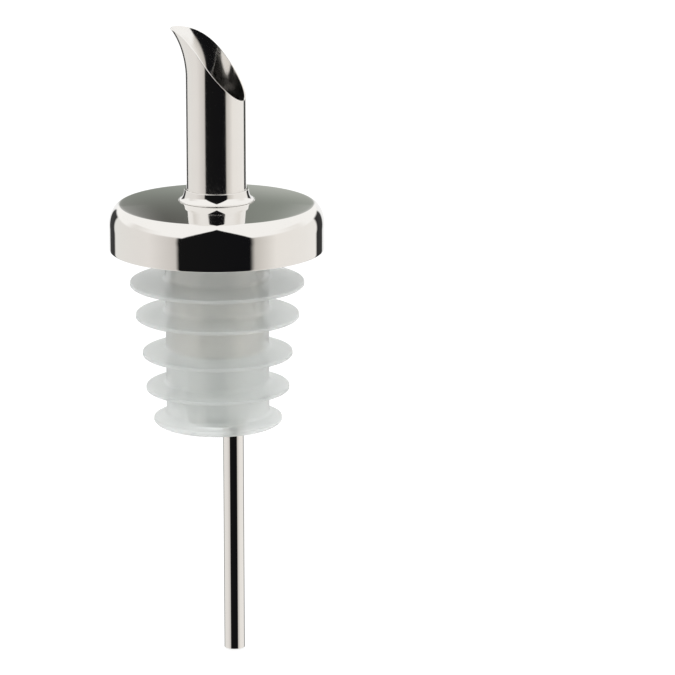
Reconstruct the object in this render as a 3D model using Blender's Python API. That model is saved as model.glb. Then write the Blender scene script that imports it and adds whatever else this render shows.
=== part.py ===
"""Liquor pour spout: a polished metal head pushed into a translucent finned stopper.

The head is five brazed metal pieces: a spout tube with a slant-cut, turned-out mouth, a flared collar, a
pressed cap, a drawn shank that the stopper grips, and a thin air tube that runs down inside the spout. The
stopper is one moulding. The origin is the centre of the bottle's mouth, where the bottle's lip meets the
stopper's flange; +Z is up and the drip lip points to -X.
"""

import math

import bmesh
import bpy

MM = 0.001

# Fits: the gap round brazed metal, and the gap of the stopper's push fit.
BRAZE_GAP = 0.2 * MM
PUSH_GAP = 0.3 * MM

# Spout tube. The mouth is cut on a slope that falls from the drip lip to the far side.
SPOUT_RADIUS = 5.0 * MM
SPOUT_WALL = 0.3 * MM
MOUTH_Z = 25.7 * MM
MOUTH_SLOPE = 1.23
LIP_REACH = 3.45 * MM
LIP_LENGTH = 8.5 * MM
LIP_CURVE = 1.93
STRAIGHT_END_DROP = 2.0 * MM
SPOUT_FOOT_RECESS = 0.4 * MM

# Pressed cap, measured over its outside. The crown is the fall of the top from its centre to the shoulder.
CAP_RADIUS = 18.0 * MM
CAP_TOP_Z = 2.25 * MM
CAP_HEIGHT = 8.45 * MM
CAP_SHEET = 0.6 * MM
CAP_CROWN = 0.85 * MM
SHOULDER_WIDTH = 1.9 * MM
SHOULDER_HEIGHT = 3.5 * MM

# Collar at the spout's foot.
COLLAR_FOOT_WIDTH = 1.15 * MM
COLLAR_FOOT_EDGE = 0.18 * MM
COLLAR_LIP_WIDTH = 0.2 * MM
COLLAR_LIP_EDGE = 0.12 * MM
COLLAR_HEIGHT = 1.65 * MM

# Drawn shank inside the stopper.
SHANK_RADIUS = 7.65 * MM
SHANK_SHEET = 0.4 * MM
SHANK_CORNER = 0.9 * MM
SHANK_LENGTH = 24.9 * MM

# Air tube, against the inside of the spout on the side away from the lip, starting a little below the mouth.
AIR_TUBE_RADIUS = 1.75 * MM
AIR_TUBE_WALL = 0.35 * MM
AIR_TUBE_RECESS = 2.7 * MM
AIR_TUBE_FOOT_Z = -75.8 * MM

# Stopper. Each fin is given by its radius and the height of its rim, from the top one to the bottom one,
# whose underside closes the stopper.
STOPPER_WALL = 0.8 * MM
BODY_TAPER = 0.1 * MM
FLANGE_RADIUS = 13.2 * MM
FLANGE_EDGE = 0.2 * MM
FLOOR_THICKNESS = 3.0 * MM
BORE_DRAFT = 0.25 * MM
FINS = (
    (14.6 * MM, -12.05 * MM),
    (13.7 * MM, -17.6 * MM),
    (12.6 * MM, -24.1 * MM),
    (12.05 * MM, -30.0 * MM),
    (10.8 * MM, -35.5 * MM),
)
FIN_RIM = 0.65 * MM
FIN_RIM_EDGE = 0.13 * MM
FIN_DROOP = 0.55 * MM
FIN_ROOT_FILLET = 0.6 * MM
FILLET_STEPS = 3
HEEL_DEPTH = 0.9 * MM
HEEL_WIDTH = 1.9 * MM

# Places that follow from the sizes above.
MOUTH_LOW_Z = MOUTH_Z - MOUTH_SLOPE * SPOUT_RADIUS
MOUTH_HIGH_Z = MOUTH_Z + MOUTH_SLOPE * SPOUT_RADIUS
BODY_RADIUS = SHANK_RADIUS + PUSH_GAP + STOPPER_WALL
STOPPER_FOOT_Z = FINS[-1][1] - HEEL_DEPTH

# Facets round the axis, and the fold that stays crisp.
TUBE_SIDES = 48
CAP_SIDES = 64
STOPPER_SIDES = 48
AIR_TUBE_SIDES = 24
SMOOTH_BELOW = math.radians(35)


def clear_scene():
    for obj in list(bpy.data.objects):
        bpy.data.objects.remove(obj)


def make_material(name, color, metallic, roughness, transmission=0.0):
    material = bpy.data.materials.new(name)
    material.use_nodes = True
    shader = material.node_tree.nodes["Principled BSDF"]
    shader.inputs["Base Color"].default_value = (*color, 1.0)
    shader.inputs["Metallic"].default_value = metallic
    shader.inputs["Roughness"].default_value = roughness
    shader.inputs["Transmission Weight"].default_value = transmission
    return material


def finish_object(bm, name, material, parent=None):
    """Turn a bmesh into a smooth-shaded object with sharp folds left crisp."""
    mesh = bpy.data.meshes.new(name)
    bm.to_mesh(mesh)
    bm.free()
    mesh.shade_smooth()
    mesh.set_sharp_from_angle(angle=SMOOTH_BELOW)
    mesh.materials.append(material)
    obj = bpy.data.objects.new(name, mesh)
    obj.parent = parent
    bpy.context.scene.collection.objects.link(obj)
    return obj


def add_wall(obj, thickness):
    """Give an open sheet its metal thickness, grown inwards from the outside surface."""
    wall = obj.modifiers.new("wall", "SOLIDIFY")
    wall.thickness = thickness
    wall.offset = -1.0
    wall.use_even_offset = True


def spin_profile(points, sides, closed):
    """Revolve a profile of (radius, z) points about Z."""
    bm = bmesh.new()
    verts = [bm.verts.new((radius, 0.0, z)) for radius, z in points]
    edges = [bm.edges.new(pair) for pair in zip(verts, verts[1:])]
    if closed:
        edges.append(bm.edges.new((verts[-1], verts[0])))
    bmesh.ops.spin(bm, geom=verts + edges, cent=(0, 0, 0), axis=(0, 0, 1), angle=2 * math.pi, steps=sides,
                   use_merge=True)
    bmesh.ops.recalc_face_normals(bm, faces=bm.faces)
    return bm


def face_outwards(bm):
    """Point an open sheet's faces away from the axis and up."""
    face = max(bm.faces, key=lambda f: f.calc_center_median().xy.length)
    if face.normal.xy.dot(face.calc_center_median().xy) < 0:
        bmesh.ops.reverse_faces(bm, faces=bm.faces)
    return bm


def arc(center, radii, start, end, steps):
    """Points on an ellipse's arc in the (radius, z) plane, angles in degrees from +radius towards +z."""
    found = []
    for step in range(steps + 1):
        angle = math.radians(start + (end - start) * step / steps)
        found.append((center[0] + radii[0] * math.cos(angle), center[1] + radii[1] * math.sin(angle)))
    return found


# Spout tube -----------------------------------------------------------------------------------


def bend_lip(point):
    """Turn the tongue of the mouth outwards, keeping its length along the metal.

    The bend grows as a power of the height above where it starts. It is strongest in the middle of the tongue
    and fades to nothing at the tube's sides.
    """
    height = point.z - (MOUTH_HIGH_Z - LIP_LENGTH)
    if height <= 0 or point.x >= 0:
        return
    share = height / LIP_LENGTH
    fade = (point.x / SPOUT_RADIUS) ** 2
    steepest = fade * LIP_CURVE * LIP_REACH / LIP_LENGTH
    point.x -= fade * LIP_REACH * share**LIP_CURVE
    point.z -= 0.5 * steepest**2 * height * share ** (2 * LIP_CURVE - 2) / (2 * LIP_CURVE - 1)


def spout_tube(material, head):
    levels = 15
    foot = STOPPER_FOOT_Z + SPOUT_FOOT_RECESS
    straight_end = MOUTH_LOW_Z - STRAIGHT_END_DROP
    bm = bmesh.new()
    ring = bmesh.ops.create_circle(bm, cap_ends=False, segments=TUBE_SIDES, radius=SPOUT_RADIUS)["verts"]
    bmesh.ops.translate(bm, verts=ring, vec=(0, 0, foot))
    edges = list(bm.edges)
    for level in range(levels + 1):
        raised = bmesh.ops.extrude_edge_only(bm, edges=edges)["geom"]
        edges = [item for item in raised if isinstance(item, bmesh.types.BMEdge)]
        for vert in (item for item in raised if isinstance(item, bmesh.types.BMVert)):
            cut = MOUTH_Z - MOUTH_SLOPE * vert.co.x
            vert.co.z = straight_end + (cut - straight_end) * level / levels
    for vert in bm.verts:
        bend_lip(vert.co)
    bmesh.ops.recalc_face_normals(bm, faces=bm.faces)
    obj = finish_object(face_outwards(bm), "spout_tube", material, head)
    add_wall(obj, SPOUT_WALL)


# Cap, collar and shank ------------------------------------------------------------------------


def crown_z(radius):
    """Height of the cap's outside over its crowned top."""
    edge = CAP_RADIUS - SHOULDER_WIDTH
    return CAP_TOP_Z - CAP_CROWN * (radius / edge) ** 2


def under_cap_z(radius):
    """Height of the cap's inside, less the gap that a piece under it keeps."""
    return crown_z(radius) - CAP_SHEET - BRAZE_GAP


def cap_shell(material, head):
    crown_steps = 5
    hole = SPOUT_RADIUS + BRAZE_GAP
    edge = CAP_RADIUS - SHOULDER_WIDTH
    profile = []
    for step in range(crown_steps):
        radius = hole + (edge - hole) * step / crown_steps
        profile.append((radius, crown_z(radius)))
    center = (edge, crown_z(edge) - SHOULDER_HEIGHT)
    profile += arc(center, (SHOULDER_WIDTH, SHOULDER_HEIGHT), 90, 0, 8)
    profile.append((CAP_RADIUS, CAP_TOP_Z - CAP_HEIGHT))
    bm = spin_profile(profile, CAP_SIDES, closed=False)
    obj = finish_object(face_outwards(bm), "cap_shell", material, head)
    add_wall(obj, CAP_SHEET)


def spout_collar(material, head):
    bore = SPOUT_RADIUS + BRAZE_GAP
    foot_z = crown_z(bore) + BRAZE_GAP
    top_z = foot_z + COLLAR_HEIGHT
    flare_center = (bore + COLLAR_FOOT_WIDTH, top_z - COLLAR_LIP_EDGE)
    flare_height = COLLAR_HEIGHT - COLLAR_LIP_EDGE - COLLAR_FOOT_EDGE
    flare_radii = (COLLAR_FOOT_WIDTH - COLLAR_LIP_WIDTH, flare_height)
    profile = [(bore, foot_z), (bore, top_z)]
    profile += [(bore + 0.5 * COLLAR_LIP_WIDTH, top_z)]
    profile += arc(flare_center, flare_radii, 180, 270, 7)
    profile += [(bore + COLLAR_FOOT_WIDTH, foot_z)]
    finish_object(spin_profile(profile, TUBE_SIDES, closed=True), "spout_collar", material, head)


def shank_sleeve(material, head):
    top_z = under_cap_z(SHANK_RADIUS)
    corner = (SHANK_RADIUS - SHANK_CORNER, top_z - SHANK_CORNER)
    profile = [(SPOUT_RADIUS + BRAZE_GAP, top_z)]
    profile += arc(corner, (SHANK_CORNER, SHANK_CORNER), 90, 0, 5)
    profile.append((SHANK_RADIUS, top_z - SHANK_LENGTH))
    bm = spin_profile(profile, TUBE_SIDES, closed=False)
    obj = finish_object(face_outwards(bm), "shank_sleeve", material, head)
    add_wall(obj, SHANK_SHEET)


# Air tube -------------------------------------------------------------------------------------


def air_tube(material, head):
    offset = SPOUT_RADIUS - SPOUT_WALL - BRAZE_GAP - AIR_TUBE_RADIUS
    profile = [(AIR_TUBE_RADIUS, MOUTH_LOW_Z - AIR_TUBE_RECESS), (AIR_TUBE_RADIUS, AIR_TUBE_FOOT_Z)]
    bm = face_outwards(spin_profile(profile, AIR_TUBE_SIDES, closed=False))
    obj = finish_object(bm, "air_tube", material, head)
    obj.location.x = offset
    add_wall(obj, AIR_TUBE_WALL)


# Stopper --------------------------------------------------------------------------------------


def body_radius(z):
    """Outside of the stopper's body, which tapers a little towards its foot."""
    return BODY_RADIUS - BODY_TAPER * z / STOPPER_FOOT_Z


def fin_profile(radius, rim_z):
    """One drooping fin from the body above it, round its rim and back to the body below it."""
    half = 0.5 * FIN_RIM
    root_top = rim_z + half + FIN_DROOP
    root_bottom = rim_z - half
    body_top = body_radius(root_top)
    body_bottom = body_radius(root_bottom)
    fillet = (FIN_ROOT_FILLET, FIN_ROOT_FILLET)
    center = (body_top + FIN_ROOT_FILLET, root_top + FIN_ROOT_FILLET)
    points = arc(center, fillet, 180, 262, FILLET_STEPS)
    points += [(radius - FIN_RIM_EDGE, rim_z + half), (radius, rim_z + half - FIN_RIM_EDGE)]
    points += [(radius, rim_z - half + FIN_RIM_EDGE), (radius - FIN_RIM_EDGE, rim_z - half)]
    center = (body_bottom + FIN_ROOT_FILLET, root_bottom - FIN_ROOT_FILLET)
    points += arc(center, fillet, 92, 180, FILLET_STEPS)
    return points


def bottom_fin_profile(radius, rim_z):
    """The last fin, which runs round into the stopper's flat foot."""
    half = 0.5 * FIN_RIM
    root_top = rim_z + half + FIN_DROOP
    fillet = (FIN_ROOT_FILLET, FIN_ROOT_FILLET)
    center = (body_radius(root_top) + FIN_ROOT_FILLET, root_top + FIN_ROOT_FILLET)
    points = arc(center, fillet, 180, 262, FILLET_STEPS)
    points += [(radius - FIN_RIM_EDGE, rim_z + half)]
    heel_top = rim_z + half - FIN_RIM_EDGE
    points += arc((radius - HEEL_WIDTH, heel_top), (HEEL_WIDTH, heel_top - STOPPER_FOOT_Z), 0, -90, 6)
    return points


def stopper(material):
    bore = SHANK_RADIUS + PUSH_GAP
    floor_hole = SPOUT_RADIUS + PUSH_GAP
    floor_z = STOPPER_FOOT_Z + FLOOR_THICKNESS
    flange_top = under_cap_z(FLANGE_RADIUS)
    profile = [(bore, under_cap_z(bore)), (FLANGE_RADIUS - FLANGE_EDGE, flange_top)]
    profile += [(FLANGE_RADIUS, flange_top - FLANGE_EDGE), (FLANGE_RADIUS, 0.0)]
    profile += [(BODY_RADIUS, 0.0)]
    for radius, rim_z in FINS[:-1]:
        profile += fin_profile(radius, rim_z)
    profile += bottom_fin_profile(*FINS[-1])
    profile += [(floor_hole, STOPPER_FOOT_Z), (floor_hole, floor_z), (bore - BORE_DRAFT, floor_z)]
    profile += [(bore, under_cap_z(SHANK_RADIUS) - SHANK_LENGTH)]
    finish_object(spin_profile(profile, STOPPER_SIDES, closed=True), "stopper", material)


def main():
    clear_scene()
    polished = make_material("polished_steel", (0.82, 0.81, 0.79), 1.0, 0.06)
    drawn = make_material("drawn_steel", (0.74, 0.73, 0.71), 1.0, 0.2)
    plastic = make_material("milky_plastic", (0.85, 0.88, 0.87), 0.0, 0.35, transmission=0.6)
    head = bpy.data.objects.new("metal_head", None)
    bpy.context.scene.collection.objects.link(head)
    spout_tube(polished, head)
    spout_collar(polished, head)
    cap_shell(polished, head)
    shank_sleeve(drawn, head)
    air_tube(polished, head)
    stopper(plastic)


main()
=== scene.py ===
"""Looks of the liquor pour spout: a polished metal head in a milky, finned stopper.

Each section builds one piece over its CAD node, with its own sizes, mesh and finish. Lengths are in
millimetres times MM, heights are measured from the bottle's mouth, and the drip lip points to -X.
"""

import math

import bmesh
import bpy
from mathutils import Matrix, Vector


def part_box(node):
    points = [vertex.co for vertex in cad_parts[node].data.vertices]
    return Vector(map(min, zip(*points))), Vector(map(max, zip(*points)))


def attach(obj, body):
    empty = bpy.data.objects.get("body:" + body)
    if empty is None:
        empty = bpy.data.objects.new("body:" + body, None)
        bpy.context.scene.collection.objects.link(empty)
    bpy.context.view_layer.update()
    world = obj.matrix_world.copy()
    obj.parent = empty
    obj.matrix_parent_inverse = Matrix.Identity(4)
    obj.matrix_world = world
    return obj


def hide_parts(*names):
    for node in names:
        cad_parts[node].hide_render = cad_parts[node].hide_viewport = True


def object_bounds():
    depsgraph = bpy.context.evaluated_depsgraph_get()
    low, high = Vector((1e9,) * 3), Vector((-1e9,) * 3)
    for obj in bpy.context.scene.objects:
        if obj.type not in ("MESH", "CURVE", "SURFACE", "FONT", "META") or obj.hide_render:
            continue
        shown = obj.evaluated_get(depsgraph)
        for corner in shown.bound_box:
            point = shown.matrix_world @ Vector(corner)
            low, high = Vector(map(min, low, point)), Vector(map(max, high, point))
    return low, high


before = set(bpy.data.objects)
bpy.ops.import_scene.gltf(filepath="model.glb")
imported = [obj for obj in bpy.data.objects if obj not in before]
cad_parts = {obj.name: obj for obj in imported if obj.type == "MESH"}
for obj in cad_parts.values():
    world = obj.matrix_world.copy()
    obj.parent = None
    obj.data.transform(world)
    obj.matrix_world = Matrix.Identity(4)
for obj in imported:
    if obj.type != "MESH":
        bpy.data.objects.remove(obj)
cad_box = [list(corner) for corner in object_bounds()]

MM = 0.001

# Camera ------------------------------------------------------------------------------------------
# A long lens, a little above the cap and turned a little round towards the side the lip points away
# from. The aim leaves the pourer in the left half of the view.

LENS_SIDE = math.radians(22.1)
LENS_RISE = math.radians(13.0)
LENS_DISTANCE = 700.0 * MM
AIM_RIGHT = 20.05 * MM
AIM_DOWN = 15.1 * MM
LENS_LENGTH = 223.25
LENS_NEAR = 50.0 * MM

cap_rim_centre = Vector((0.0, 0.0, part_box("cap_shell")[0].z))
facing = Vector((math.sin(LENS_SIDE), -math.cos(LENS_SIDE), 0.0))
rightwards = Vector((math.cos(LENS_SIDE), math.sin(LENS_SIDE), 0.0))
to_lens = facing * math.cos(LENS_RISE) + Vector((0.0, 0.0, math.sin(LENS_RISE)))
upwards = to_lens.cross(rightwards)

lens = bpy.data.cameras.new("product_lens")
lens.lens = LENS_LENGTH
lens.sensor_width = 36.0
lens.clip_start = LENS_NEAR
camera = bpy.data.objects.new("product_lens", lens)
camera.location = cap_rim_centre + to_lens * LENS_DISTANCE
aim = cap_rim_centre + rightwards * AIM_RIGHT - upwards * AIM_DOWN
camera.rotation_euler = (camera.location - aim).to_track_quat("Z", "Y").to_euler()
bpy.context.scene.collection.objects.link(camera)
bpy.context.scene.camera = camera
bpy.context.scene.view_settings.view_transform = "Standard"

# Table ---------------------------------------------------------------------------------------------
# A wide white table just under the foot of the air tube, bright enough to fade into the background.
# Mirror metal doesn't show it: what the metal shows is set with the studio below.

TABLE_WIDTH = 6000.0 * MM
TABLE_GAP = 0.3 * MM
TABLE_GREYS = (0.26, 0.28)
TABLE_GLOW = 0.83


def link_nodes(tree, kind, **settings):
    """Add a node, set its plain properties and link or set its sockets, given by name or place."""
    node = tree.nodes.new(kind)
    sockets = settings.pop("sockets", {})
    for key, value in settings.items():
        setattr(node, key, value)
    for key, value in sockets.items():
        socket = node.inputs[key]
        if isinstance(value, bpy.types.NodeSocket):
            tree.links.new(value, socket)
        else:
            socket.default_value = value
    return node


table_cloth = bpy.data.materials.new("white_table")
table_cloth.use_nodes = True
tree = table_cloth.node_tree
shader = tree.nodes["Principled BSDF"]
where = link_nodes(tree, "ShaderNodeTexCoord").outputs["Object"]
paper = link_nodes(tree, "ShaderNodeTexNoise", sockets={"Vector": where, "Scale": 900.0, "Detail": 3.0})
tooth = link_nodes(tree, "ShaderNodeValToRGB", sockets={"Fac": paper.outputs["Fac"]})
for stop, grey in zip(tooth.color_ramp.elements, TABLE_GREYS):
    stop.color = (grey, grey, grey, 1.0)
tree.links.new(tooth.outputs["Color"], shader.inputs["Base Color"])
shader.inputs["Roughness"].default_value = 0.9
shader.inputs["Specular IOR Level"].default_value = 0.0
shader.inputs["Emission Color"].default_value = (1.0, 1.0, 1.0, 1.0)
shader.inputs["Emission Strength"].default_value = TABLE_GLOW

bm = bmesh.new()
bmesh.ops.create_grid(bm, x_segments=2, y_segments=2, size=0.5 * TABLE_WIDTH)
bmesh.ops.translate(bm, verts=bm.verts, vec=(0.0, 0.0, cad_box[0][2] - TABLE_GAP))
table_mesh = bpy.data.meshes.new("table")
bm.to_mesh(table_mesh)
bm.free()
table_mesh.materials.append(table_cloth)
table = bpy.data.objects.new("table", table_mesh)
bpy.context.scene.collection.objects.link(table)
table.visible_glossy = False

# Studio light --------------------------------------------------------------------------------------
# What the metal mirrors: white cards on both sides, a soft box overhead, a dark room behind the lens,
# and a grey wall at the back. The matt stopper gets plain white light, strongest from the front. Angles
# are in degrees, 0 at the lens and plus to its right, and a pair is where a soft edge starts and ends.

FRONT_DARK_TOP = (65.0, 71.0)
FRONT_DARK_SLOPE = 1.4
FRONT_DARK_SIDE = 38.0
BACK_WALL_TOP = (25.0, 30.0)
BACK_WALL_FOOT = (-1.0, 1.0)
BACK_WALL_SIDE = (169.0, 177.5)
SIDE_CARD_TOP = (8.0, 14.0)
SIDE_CARD_BACK = (100.0, 120.0)
BOX_TURNS_BACK = (60.0, 110.0)
FLOOR_STARTS = (-30.0, -50.0)
WALL_LEFT = ((0.27, 0.29, 0.26, 1.0), (0.115, 0.115, 0.105, 1.0))
WALL_LEFT_FADE = (0.0, 25.0)
WALL_RIGHT = ((0.50, 0.52, 0.48, 1.0), (0.26, 0.28, 0.25, 1.0))
WALL_RIGHT_FADE = (0.0, 16.0)
WALL_MIDDLE = (-0.05, 0.06)
WHITE_FLOOR = (0.9, 0.9, 0.89, 1.0)
WHITE = (1.0, 1.0, 1.0, 1.0)
SOFT_BOX = (1.02, 1.01, 0.99, 1.0)
FILL_FROM_BACK = (0.58, 0.59, 0.59, 1.0)
FILL_FROM_FRONT = (2.05, 2.05, 2.05, 1.0)
FILL_TURN = -0.3
ROUND_THE_ROOM = (
    (-180, (1.0, 1.0, 1.0)),
    (-162, (0.95, 0.95, 0.95)),
    (-159, (0.06, 0.06, 0.06)),
    (-142, (0.04, 0.04, 0.04)),
    (-138, (0.84, 0.83, 0.80)),
    (-78, (0.84, 0.81, 0.78)),
    (-45, (0.64, 0.61, 0.58)),
    (-41, (0.008, 0.008, 0.008)),
    (36, (0.006, 0.006, 0.007)),
    (41, (0.60, 0.57, 0.53)),
    (66, (0.89, 0.86, 0.82)),
    (131, (0.93, 0.91, 0.88)),
    (135, (0.03, 0.03, 0.03)),
    (152, (0.05, 0.05, 0.05)),
    (156, (0.95, 0.95, 0.95)),
    (180, (1.0, 1.0, 1.0)),
)


def step_up(tree, value, low, high):
    """A soft step of value from 0 at low to 1 at high, both in degrees, with value in radians."""
    node = link_nodes(tree, "ShaderNodeMapRange", interpolation_type="SMOOTHSTEP", sockets={"Value": value})
    node.inputs["From Min"].default_value = math.radians(low)
    node.inputs["From Max"].default_value = math.radians(high)
    return node.outputs["Result"]


def mix_colours(tree, share, first, second):
    """Mix two colours by share."""
    node = link_nodes(tree, "ShaderNodeMix", data_type="RGBA")
    for socket, value in ((node.inputs["Factor"], share), (node.inputs[6], first), (node.inputs[7], second)):
        if isinstance(value, bpy.types.NodeSocket):
            tree.links.new(value, socket)
        else:
            socket.default_value = value
    return node.outputs[2]


studio = bpy.data.worlds.new("studio")
studio.use_nodes = True
tree = studio.node_tree
backdrop = tree.nodes["Background"]
direction = link_nodes(tree, "ShaderNodeTexCoord").outputs["Generated"]
ahead = link_nodes(tree, "ShaderNodeVectorMath", operation="DOT_PRODUCT", sockets={0: direction, 1: facing})
aside = link_nodes(tree, "ShaderNodeVectorMath", operation="DOT_PRODUCT",
                   sockets={0: direction, 1: rightwards})
turned = link_nodes(tree, "ShaderNodeMath", operation="ARCTAN2",
                    sockets={0: aside.outputs["Value"], 1: ahead.outputs["Value"]}).outputs[0]
height = link_nodes(tree, "ShaderNodeSeparateXYZ", sockets={0: direction}).outputs["Z"]
raised = link_nodes(tree, "ShaderNodeMath", operation="ARCSINE", sockets={0: height}).outputs[0]
away = link_nodes(tree, "ShaderNodeMath", operation="ABSOLUTE", sockets={0: turned}).outputs[0]

round_share = link_nodes(tree, "ShaderNodeMapRange", sockets={"Value": turned})
round_share.inputs["From Min"].default_value = -math.pi
round_share.inputs["From Max"].default_value = math.pi
cards = link_nodes(tree, "ShaderNodeValToRGB", sockets={"Fac": round_share.outputs["Result"]})
stops = cards.color_ramp.elements
stops.remove(stops[1])
stops[0].position = 0.0
stops[0].color = (*ROUND_THE_ROOM[0][1], 1.0)
for degrees, colour in ROUND_THE_ROOM[1:]:
    stop = stops.new((degrees + 180) / 360)
    stop.color = (*colour, 1.0)

wall_left = mix_colours(tree, step_up(tree, raised, *WALL_LEFT_FADE), *WALL_LEFT)
wall_right = mix_colours(tree, step_up(tree, raised, *WALL_RIGHT_FADE), *WALL_RIGHT)
right_of_back = link_nodes(tree, "ShaderNodeMapRange", interpolation_type="SMOOTHSTEP",
                           sockets={"Value": aside.outputs["Value"], "From Min": WALL_MIDDLE[0],
                                    "From Max": WALL_MIDDLE[1]})
wall = mix_colours(tree, right_of_back.outputs["Result"], wall_left, wall_right)
at_back = link_nodes(tree, "ShaderNodeMath", operation="MULTIPLY",
                     sockets={0: step_up(tree, away, *BACK_WALL_SIDE),
                              1: step_up(tree, raised, *BACK_WALL_FOOT)})
room = mix_colours(tree, at_back.outputs[0], cards.outputs["Color"], wall)

near_front = link_nodes(tree, "ShaderNodeMath", operation="MINIMUM",
                        sockets={0: away, 1: math.radians(FRONT_DARK_SIDE)}).outputs[0]
slanted = link_nodes(tree, "ShaderNodeMath", operation="MULTIPLY_ADD",
                     sockets={0: near_front, 1: FRONT_DARK_SLOPE, 2: raised}).outputs[0]
over_front = step_up(tree, slanted, *FRONT_DARK_TOP)
over_back = step_up(tree, raised, *BACK_WALL_TOP)
box_edge = link_nodes(tree, "ShaderNodeMix", data_type="FLOAT",
                      sockets={0: step_up(tree, away, *BOX_TURNS_BACK), 2: over_front, 3: over_back})
room = mix_colours(tree, box_edge.outputs[0], room, SOFT_BOX)
side_gap = link_nodes(tree, "ShaderNodeMath", operation="MULTIPLY",
                      sockets={0: step_up(tree, raised, *SIDE_CARD_TOP),
                              1: step_up(tree, away, *SIDE_CARD_BACK)})
not_wall = link_nodes(tree, "ShaderNodeMath", operation="SUBTRACT", use_clamp=True,
                      sockets={0: side_gap.outputs[0], 1: at_back.outputs[0]})
room = mix_colours(tree, not_wall.outputs[0], room, SOFT_BOX)
room = mix_colours(tree, step_up(tree, raised, *FLOOR_STARTS), room, WHITE_FLOOR)
path = link_nodes(tree, "ShaderNodeLightPath").outputs
towards = link_nodes(tree, "ShaderNodeMapRange", sockets={"Value": ahead.outputs["Value"],
                     "From Min": FILL_TURN})
fill = mix_colours(tree, towards.outputs["Result"], FILL_FROM_BACK, FILL_FROM_FRONT)
room = mix_colours(tree, path["Is Diffuse Ray"], room, fill)
tree.links.new(mix_colours(tree, path["Is Camera Ray"], room, WHITE), backdrop.inputs["Color"])
bpy.context.scene.world = studio

# Spout tube ----------------------------------------------------------------------------------------
# Thin drawn stainless tube, polished bright. Its top is cut on a slant and the tongue that is left is
# turned outwards as a drip lip. It runs down through the head and its foot is gripped by the stopper.

SPOUT_RADIUS = 5.0 * MM
SPOUT_WALL = 0.3 * MM
MOUTH_Z = 25.47 * MM
MOUTH_SLOPE = 1.25
LIP_REACH = 3.0 * MM
LIP_LENGTH = 9.0 * MM
LIP_CURVE = 1.9
LIP_ROLL = 1.7
LIP_ROOM = 8.0 * MM
LIP_LEVELS = 44
SPOUT_SIDES = 192
CUT_EDGE = 0.05 * MM
HOLD = 0.12 * MM  # how far a ring of points stands from an edge, to keep the edge crisp
BRIGHT_STEEL = (0.885, 0.872, 0.855)
SPOUT_DULL = (0.08, 0.17)

mouth_low_z = MOUTH_Z - MOUTH_SLOPE * SPOUT_RADIUS
mouth_high_z = MOUTH_Z + MOUTH_SLOPE * SPOUT_RADIUS


def steel(name, colour, dull, rings):
    """Polished steel: fine polishing lines, round the axis for rings or else lengthwise, over clouds.

    dull gives the roughness where the polish is best and where it is worst.
    """
    material = bpy.data.materials.new(name)
    material.use_nodes = True
    tree = material.node_tree
    shader = tree.nodes["Principled BSDF"]
    where = link_nodes(tree, "ShaderNodeTexCoord").outputs["Object"]
    if rings:
        split = link_nodes(tree, "ShaderNodeSeparateXYZ", sockets={0: where})
        flat = link_nodes(tree, "ShaderNodeCombineXYZ", sockets={0: split.outputs[0], 1: split.outputs[1]})
        out = link_nodes(tree, "ShaderNodeVectorMath", operation="LENGTH", sockets={0: flat.outputs[0]})
        along = link_nodes(tree, "ShaderNodeCombineXYZ",
                           sockets={0: out.outputs["Value"], 2: split.outputs[2]}).outputs[0]
    else:
        along = link_nodes(tree, "ShaderNodeMapping", sockets={"Vector": where, "Scale": (1.0, 1.0, 0.02)})
        along = along.outputs[0]
    lines = link_nodes(tree, "ShaderNodeTexNoise", sockets={"Vector": along, "Scale": 9000.0, "Detail": 4.0})
    clouds = link_nodes(tree, "ShaderNodeTexNoise", sockets={"Vector": where, "Scale": 260.0, "Detail": 5.0})
    specks = link_nodes(tree, "ShaderNodeTexNoise", sockets={"Vector": where, "Scale": 4200.0, "Detail": 1.0})
    marks = link_nodes(tree, "ShaderNodeMapRange",
                       sockets={"Value": specks.outputs["Fac"], "From Min": 0.70, "From Max": 0.80})
    worn = link_nodes(tree, "ShaderNodeMath", operation="MULTIPLY",
                      sockets={0: lines.outputs["Fac"], 1: clouds.outputs["Fac"]})
    worn = link_nodes(tree, "ShaderNodeMath", operation="MULTIPLY_ADD",
                      sockets={0: marks.outputs["Result"], 1: 0.35, 2: worn.outputs[0]})
    polish = link_nodes(tree, "ShaderNodeMapRange", sockets={"Value": worn.outputs[0], "From Min": 0.12,
                        "From Max": 0.60, "To Min": dull[0], "To Max": dull[1]})
    tree.links.new(polish.outputs["Result"], shader.inputs["Roughness"])
    shade = [0.965 * part for part in colour]
    tint = mix_colours(tree, clouds.outputs["Fac"], (*colour, 1.0), (*shade, 1.0))
    tree.links.new(tint, shader.inputs["Base Color"])
    grain = link_nodes(tree, "ShaderNodeBump", sockets={"Height": lines.outputs["Fac"], "Strength": 0.06,
                       "Distance": 0.004 * MM})
    wave = link_nodes(tree, "ShaderNodeBump", sockets={"Height": clouds.outputs["Fac"], "Strength": 0.5,
                      "Distance": 0.01 * MM, "Normal": grain.outputs["Normal"]})
    tree.links.new(wave.outputs["Normal"], shader.inputs["Normal"])
    shader.inputs["Metallic"].default_value = 1.0
    return material


def make_piece(bm, name, material):
    """Turn a finished bmesh into a smooth piece at the origin."""
    mesh = bpy.data.meshes.new(name)
    bm.to_mesh(mesh)
    bm.free()
    mesh.shade_smooth()
    mesh.materials.append(material)
    piece = bpy.data.objects.new(name, mesh)
    bpy.context.scene.collection.objects.link(piece)
    return piece


def face_outwards(bm):
    """Point an open sheet's faces away from the axis."""
    bmesh.ops.recalc_face_normals(bm, faces=bm.faces)
    face = max(bm.faces, key=lambda f: f.calc_center_median().xy.length)
    if face.normal.xy.dot(face.calc_center_median().xy) < 0:
        bmesh.ops.reverse_faces(bm, faces=bm.faces)


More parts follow.
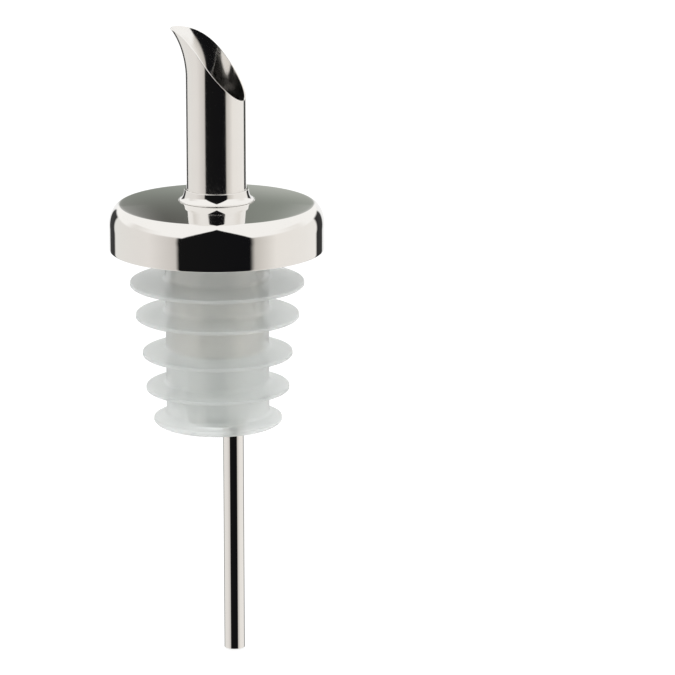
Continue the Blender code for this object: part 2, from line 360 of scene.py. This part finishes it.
def add_wall(piece, thickness, edge):
    """Give a sheet its metal thickness inwards and take the sharpness off its cut edges."""
    wall = piece.modifiers.new("wall", "SOLIDIFY")
    wall.thickness = thickness
    wall.offset = -1.0
    wall.use_even_offset = True
    soften = piece.modifiers.new("deburr", "BEVEL")
    soften.width = edge
    soften.segments = 3
    soften.limit_method = "ANGLE"
    soften.angle_limit = math.radians(50)


def turn_out_lip(point):
    """Bend the tongue of the mouth outwards. The bend and the roll of the lip shorten it."""
    rise = point.z - (mouth_high_z - LIP_LENGTH)
    if rise <= 0 or point.x >= 0:
        return
    share = rise / LIP_LENGTH
    fade = min(1.0, (point.x / SPOUT_RADIUS) ** 2)
    steepest = fade * LIP_CURVE * LIP_REACH / LIP_LENGTH
    point.x -= fade * LIP_REACH * share**LIP_CURVE
    point.z -= LIP_ROLL * 0.5 * steepest**2 * rise * share ** (2 * LIP_CURVE - 2) / (2 * LIP_CURVE - 1)


spout_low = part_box("spout_tube")[0]
straight_end = mouth_low_z - LIP_ROOM
bm = bmesh.new()
ring = bmesh.ops.create_circle(bm, cap_ends=False, segments=SPOUT_SIDES, radius=SPOUT_RADIUS)["verts"]
bmesh.ops.translate(bm, verts=ring, vec=(0.0, 0.0, spout_low.z))
edges = list(bm.edges)
heights = [(None, spout_low.z + HOLD), (None, straight_end - HOLD)]
heights += [(level / LIP_LEVELS, 0.0) for level in range(LIP_LEVELS)] + [(1.0, -HOLD), (1.0, 0.0)]
for share, offset in heights:
    raised_ring = bmesh.ops.extrude_edge_only(bm, edges=edges)["geom"]
    edges = [item for item in raised_ring if isinstance(item, bmesh.types.BMEdge)]
    for vert in (item for item in raised_ring if isinstance(item, bmesh.types.BMVert)):
        cut = MOUTH_Z - MOUTH_SLOPE * vert.co.x
        vert.co.z = offset if share is None else straight_end + (cut - straight_end) * share + offset
for vert in bm.verts:
    turn_out_lip(vert.co)
face_outwards(bm)
spout_steel = steel("spout_polish", BRIGHT_STEEL, SPOUT_DULL, rings=False)
spout = make_piece(bm, "polished_spout", spout_steel)
add_wall(spout, SPOUT_WALL, CUT_EDGE)
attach(spout, "metal_head")
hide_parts("spout_tube")

# Cap -----------------------------------------------------------------------------------------------
# Stainless sheet pressed into a shallow crowned cup with a rounded shoulder and a straight skirt. It
# is spun bright outside, and covers the bottle's lip.

CAP_RADIUS = 18.0 * MM
CAP_TOP_Z = 2.25 * MM
CAP_HEIGHT = 8.45 * MM
CAP_SHEET = 0.6 * MM
CAP_CROWN = 0.85 * MM
SHOULDER_WIDTH = 1.9 * MM
SHOULDER_HEIGHT = 3.5 * MM
SHOULDER_START = 86.5
SHOULDER_STEPS = 28
CROWN_STEPS = 24
CAP_SIDES = 256
CAP_DEBURR = 0.1 * MM
BRAZE_GAP = 0.2 * MM
CAP_DULL = (0.03, 0.08)


def turn_profile(points, sides, closed):
    """Turn a profile of (radius, height) points about the pourer's axis."""
    bm = bmesh.new()
    verts = [bm.verts.new((radius, 0.0, z)) for radius, z in points]
    edges = [bm.edges.new(pair) for pair in zip(verts, verts[1:])]
    if closed:
        edges.append(bm.edges.new((verts[-1], verts[0])))
    bmesh.ops.spin(bm, geom=verts + edges, cent=(0, 0, 0), axis=(0, 0, 1), angle=2 * math.pi, steps=sides,
                   use_merge=True)
    bmesh.ops.remove_doubles(bm, verts=bm.verts, dist=0.0001 * MM)
    bmesh.ops.recalc_face_normals(bm, faces=bm.faces)
    return bm


def arc(center, radii, start, end, steps):
    """Points on an ellipse's arc in the profile, angles in degrees from outwards towards up."""
    found = []
    for step in range(steps + 1):
        angle = math.radians(start + (end - start) * step / steps)
        found.append((center[0] + radii[0] * math.cos(angle), center[1] + radii[1] * math.sin(angle)))
    return found


def crown_z(radius):
    """Height of the cap's outside over its crowned top."""
    return CAP_TOP_Z - CAP_CROWN * (radius / (CAP_RADIUS - SHOULDER_WIDTH)) ** 2


crown_edge = CAP_RADIUS - SHOULDER_WIDTH
cap_hole = SPOUT_RADIUS + BRAZE_GAP
profile = [(cap_hole, crown_z(cap_hole))]
for step in range(1, CROWN_STEPS):
    radius = cap_hole + (crown_edge - cap_hole) * step / CROWN_STEPS
    profile.append((radius, crown_z(radius)))
shoulder_width = SHOULDER_WIDTH / (1 - math.cos(math.radians(SHOULDER_START)))
shoulder_centre = (CAP_RADIUS - shoulder_width,
                   crown_z(crown_edge) - SHOULDER_HEIGHT * math.sin(math.radians(SHOULDER_START)))
profile += arc(shoulder_centre, (shoulder_width, SHOULDER_HEIGHT), SHOULDER_START, 0, SHOULDER_STEPS)
cap_foot = CAP_TOP_Z - CAP_HEIGHT
profile += [(CAP_RADIUS, shoulder_centre[1] - HOLD), (CAP_RADIUS, cap_foot + 3 * HOLD)]
profile += [(CAP_RADIUS, cap_foot)]
bm = turn_profile(profile, CAP_SIDES, closed=False)
face_outwards(bm)
cap_steel = steel("cap_polish", BRIGHT_STEEL, CAP_DULL, rings=True)
cap = make_piece(bm, "pressed_cap", cap_steel)
add_wall(cap, CAP_SHEET, CAP_DEBURR)
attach(cap, "metal_head")
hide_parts("cap_shell")

# Collar --------------------------------------------------------------------------------------------
# Small turned ring with a hollow flare, brazed round the spout where it stands on the cap.

COLLAR_FOOT_WIDTH = 1.15 * MM
COLLAR_LIP_WIDTH = 0.2 * MM
COLLAR_LIP_FILL = 0.15 * MM
COLLAR_SLIP = 0.05 * MM
COLLAR_STAND = 0.02 * MM
COLLAR_TOP_ROUND = 0.06 * MM
COLLAR_LIP_ROUND = 0.07 * MM
COLLAR_LIP_DEPTH = 0.12 * MM
COLLAR_FOOT_DEPTH = 0.10 * MM
COLLAR_FOOT_ROUND = (0.04 * MM, 0.05 * MM)
FLARE_STEPS = 18
COLLAR_DULL = (0.03, 0.09)

collar_bore = SPOUT_RADIUS + COLLAR_SLIP
collar_out = SPOUT_RADIUS + BRAZE_GAP + COLLAR_FOOT_WIDTH
collar_foot = crown_z(collar_out) + COLLAR_STAND
collar_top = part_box("spout_collar")[1].z
lip_out = collar_bore + COLLAR_LIP_FILL + COLLAR_LIP_WIDTH
profile = [(collar_bore, collar_foot), (collar_bore, collar_top - COLLAR_TOP_ROUND)]
profile += arc((collar_bore + COLLAR_TOP_ROUND, collar_top - COLLAR_TOP_ROUND),
               (COLLAR_TOP_ROUND, COLLAR_TOP_ROUND), 180, 90, 4)
profile += arc((lip_out - COLLAR_LIP_ROUND, collar_top - COLLAR_LIP_ROUND),
               (COLLAR_LIP_ROUND, COLLAR_LIP_ROUND), 90, 0, 5)
flare_top = collar_top - COLLAR_LIP_DEPTH
flare = (collar_out - lip_out, flare_top - collar_foot - COLLAR_FOOT_DEPTH)
profile += arc((collar_out, flare_top), flare, 180, 268, FLARE_STEPS)
profile += arc((collar_out, collar_foot + COLLAR_FOOT_ROUND[1]), COLLAR_FOOT_ROUND, 80, -90, 5)
bm = turn_profile(profile, SPOUT_SIDES, closed=True)
collar_steel = steel("collar_polish", BRIGHT_STEEL, COLLAR_DULL, rings=True)
collar = make_piece(bm, "flared_collar", collar_steel)
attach(collar, "metal_head")
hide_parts("spout_collar")

# Shank ---------------------------------------------------------------------------------------------
# Deep drawn sleeve brazed under the cap. It is left as it came from the press, with drawing lines
# down its side, because the stopper covers it. Its colour is steel with a painted warm reflection.

SHANK_RADIUS = 7.65 * MM
SHANK_SHEET = 0.4 * MM
SHANK_CORNER = 0.9 * MM
SHANK_DEBURR = 0.08 * MM
# Steel colour plus a warm tint that is painted reflection of warm light.
SHANK_STEEL_AND_WARM_REFLECTION = (0.90, 0.83, 0.76)
SHANK_DULL = (0.08, 0.20)

shank_low, shank_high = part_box("shank_sleeve")
corner = (SHANK_RADIUS - SHANK_CORNER, shank_high.z - SHANK_CORNER)
profile = [(SPOUT_RADIUS + BRAZE_GAP, shank_high.z)]
profile += arc(corner, (SHANK_CORNER, SHANK_CORNER), 90, 0, 10)
profile += [(SHANK_RADIUS, corner[1] - HOLD), (SHANK_RADIUS, shank_low.z + HOLD)]
profile += [(SHANK_RADIUS, shank_low.z)]
bm = turn_profile(profile, SPOUT_SIDES, closed=False)
face_outwards(bm)
shank_steel = steel("shank_drawn", SHANK_STEEL_AND_WARM_REFLECTION, SHANK_DULL, rings=False)
shank = make_piece(bm, "drawn_shank", shank_steel)
add_wall(shank, SHANK_SHEET, SHANK_DEBURR)
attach(shank, "metal_head")
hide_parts("shank_sleeve")

# Air tube ------------------------------------------------------------------------------------------
# Thin polished tube that lets air into the bottle. It lies against the inside of the spout, on the
# side away from the lip, and hangs far below the stopper.

AIR_TUBE_WALL = 0.35 * MM
AIR_TUBE_DEBURR = 0.07 * MM
AIR_TUBE_SIDES = 96
AIR_TUBE_STOPS = 12
AIR_TUBE_DULL = (0.03, 0.08)

air_low, air_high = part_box("air_tube")
air_radius = 0.5 * (air_high.y - air_low.y)
air_centre = 0.5 * (air_high.x + air_low.x)
bm = bmesh.new()
ring = bmesh.ops.create_circle(bm, cap_ends=False, segments=AIR_TUBE_SIDES, radius=air_radius)["verts"]
bmesh.ops.translate(bm, verts=ring, vec=(air_centre, 0.0, air_low.z))
edges = list(bm.edges)
tube_length = air_high.z - air_low.z
tube_heights = [air_low.z + HOLD]
tube_heights += [air_low.z + tube_length * stop / AIR_TUBE_STOPS for stop in range(1, AIR_TUBE_STOPS)]
tube_heights += [air_high.z - HOLD, air_high.z]
for z in tube_heights:
    raised_ring = bmesh.ops.extrude_edge_only(bm, edges=edges)["geom"]
    edges = [item for item in raised_ring if isinstance(item, bmesh.types.BMEdge)]
    for vert in (item for item in raised_ring if isinstance(item, bmesh.types.BMVert)):
        vert.co.z = z
bmesh.ops.recalc_face_normals(bm, faces=bm.faces)
face = next(iter(bm.faces))
middle = face.calc_center_median()
if face.normal.dot(middle - Vector((air_centre, 0.0, middle.z))) < 0:
    bmesh.ops.reverse_faces(bm, faces=bm.faces)
air_steel = steel("air_tube_polish", BRIGHT_STEEL, AIR_TUBE_DULL, rings=False)
air_pipe = make_piece(bm, "air_pipe", air_steel)
add_wall(air_pipe, AIR_TUBE_WALL, AIR_TUBE_DEBURR)
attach(air_pipe, "metal_head")
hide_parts("air_tube")

# Stopper -------------------------------------------------------------------------------------------
# One soft moulding in milky, half clear plastic: a flange under the cap, a thin body that grips the
# shank, five drooping fins that get smaller downwards, and a thick floor that grips the spout's foot.

STOPPER_WALL = 0.8 * MM
PUSH_GAP = 0.3 * MM
BODY_TAPER = 0.1 * MM
FLANGE_RADIUS = 13.2 * MM
FLOOR_THICKNESS = 3.0 * MM
BORE_DRAFT = 0.25 * MM
FINS = (
    (14.6 * MM, -12.05 * MM),
    (13.7 * MM, -17.6 * MM),
    (12.6 * MM, -24.1 * MM),
    (12.05 * MM, -30.0 * MM),
    (10.8 * MM, -35.5 * MM),
)
FIN_RIM = 0.65 * MM
FIN_DROOP = 0.55 * MM
FIN_RIM_ROUND = 0.6
FIN_SAG = 0.35
FIN_STEPS = 6
FIN_ROOT_FILLET = 0.7 * MM
HEEL_WIDTH = 1.9 * MM
FLANGE_EDGE = 0.2 * MM
FLANGE_FOOT_SLOPE = 0.1 * MM
FLANGE_ROOT_FILLET = 0.5 * MM
SPOUT_HOLE_ROUND = 0.3 * MM
FLOOR_FILLET = 0.6 * MM
STOPPER_SIDES = 224
MILKY_TINTS = ((0.655, 0.685, 0.67, 1.0), (0.70, 0.725, 0.71, 1.0))
MILKY_ALPHA = 0.56
MILKY_CLEARNESS = 0.5
MILKY_DEPTH = 3.0 * MM

body_out = SHANK_RADIUS + PUSH_GAP + STOPPER_WALL
stopper_low, stopper_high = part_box("stopper")
bore = SHANK_RADIUS + PUSH_GAP


def body_radius(z):
    """Outside of the stopper's body, which tapers a little towards its foot."""
    return body_out - BODY_TAPER * z / stopper_low.z


def fin_top(radius, rim_z):
    """The upper side of a fin, from the body's root fillet out to its rim."""
    half = 0.5 * FIN_RIM
    root = rim_z + half + FIN_DROOP
    start = body_radius(root) + FIN_ROOT_FILLET
    points = arc((start, root + FIN_ROOT_FILLET), (FIN_ROOT_FILLET, FIN_ROOT_FILLET), 180, 265, 7)
    root_x, root_z = points[-1]
    reach = radius - FIN_RIM_ROUND * half - root_x
    fall = root_z - rim_z - half
    for step in range(1, FIN_STEPS + 1):
        share = step / FIN_STEPS
        drop = fall * ((1 + FIN_SAG) * share - FIN_SAG * share**2)
        points.append((root_x + reach * share, root_z - drop))
    return points


def fin(radius, rim_z):
    """One drooping fin from the body above it, round its rim and back to the body below it."""
    half = 0.5 * FIN_RIM
    edge = FIN_RIM_ROUND * half
    points = fin_top(radius, rim_z)
    points += arc((radius - edge, rim_z + half - edge), (edge, edge), 78, 0, 4)
    points += arc((radius - edge, rim_z - half + edge), (edge, edge), 0, -90, 4)
    root = rim_z - half
    inner = body_radius(root) + FIN_ROOT_FILLET
    points += arc((inner, root - FIN_ROOT_FILLET), (FIN_ROOT_FILLET, FIN_ROOT_FILLET), 92, 180, 7)
    return points


def bottom_fin(radius, rim_z):
    """The last fin, which runs round into the stopper's flat foot."""
    half = 0.5 * FIN_RIM
    edge = FIN_RIM_ROUND * half
    points = fin_top(radius, rim_z)
    points += arc((radius - edge, rim_z + half - edge), (edge, edge), 78, 0, 4)
    points += arc((radius - HEEL_WIDTH, rim_z), (HEEL_WIDTH, rim_z - stopper_low.z), 0, -90, 12)
    return points


hole = SPOUT_RADIUS + PUSH_GAP
floor_z = stopper_low.z + FLOOR_THICKNESS
flange_top = crown_z(FLANGE_RADIUS) - CAP_SHEET - BRAZE_GAP
profile = [(bore, stopper_high.z), (FLANGE_RADIUS - FLANGE_EDGE, flange_top)]
profile += [(FLANGE_RADIUS, flange_top - FLANGE_EDGE), (FLANGE_RADIUS, HOLD)]
profile += [(FLANGE_RADIUS - FLANGE_FOOT_SLOPE, 0.0)]
profile += arc((body_out + FLANGE_ROOT_FILLET, -FLANGE_ROOT_FILLET),
               (FLANGE_ROOT_FILLET, FLANGE_ROOT_FILLET), 92, 180, 6)
for radius, rim_z in FINS[:-1]:
    profile += fin(radius, rim_z)
profile += bottom_fin(*FINS[-1])
profile += arc((hole + SPOUT_HOLE_ROUND, stopper_low.z + SPOUT_HOLE_ROUND),
               (SPOUT_HOLE_ROUND, SPOUT_HOLE_ROUND), 270, 180, 4)
profile += [(hole, floor_z - HOLD), (hole + HOLD, floor_z)]
profile += arc((bore - BORE_DRAFT - FLOOR_FILLET, floor_z + FLOOR_FILLET),
               (FLOOR_FILLET, FLOOR_FILLET), -90, 0, 5)
profile += [(bore, shank_low.z)]
bm = turn_profile(profile, STOPPER_SIDES, closed=True)

milky = bpy.data.materials.new("milky_moulding")
milky.use_nodes = True
tree = milky.node_tree
shader = tree.nodes["Principled BSDF"]
where = link_nodes(tree, "ShaderNodeTexCoord").outputs["Object"]
flow = link_nodes(tree, "ShaderNodeTexNoise", sockets={"Vector": where, "Scale": 220.0, "Detail": 4.0})
skin = link_nodes(tree, "ShaderNodeTexNoise", sockets={"Vector": where, "Scale": 3500.0, "Detail": 3.0})
tint = mix_colours(tree, flow.outputs["Fac"], *MILKY_TINTS)
tree.links.new(tint, shader.inputs["Base Color"])
sheen = link_nodes(tree, "ShaderNodeMapRange", sockets={"Value": flow.outputs["Fac"], "From Min": 0.3,
                   "From Max": 0.7, "To Min": 0.30, "To Max": 0.38})
tree.links.new(sheen.outputs["Result"], shader.inputs["Roughness"])
orange_peel = link_nodes(tree, "ShaderNodeBump", sockets={"Height": skin.outputs["Fac"], "Strength": 0.25,
                         "Distance": 0.02 * MM})
tree.links.new(orange_peel.outputs["Normal"], shader.inputs["Normal"])
shader.inputs["Alpha"].default_value = MILKY_ALPHA
shader.inputs["Transmission Weight"].default_value = MILKY_CLEARNESS
shader.inputs["IOR"].default_value = 1.5
shader.inputs["Subsurface Weight"].default_value = 1.0
shader.inputs["Subsurface Radius"].default_value = (1.0, 1.0, 1.0)
shader.inputs["Subsurface Scale"].default_value = MILKY_DEPTH
stopper = make_piece(bm, "finned_stopper", milky)
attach(stopper, "stopper_body")
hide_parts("stopper")
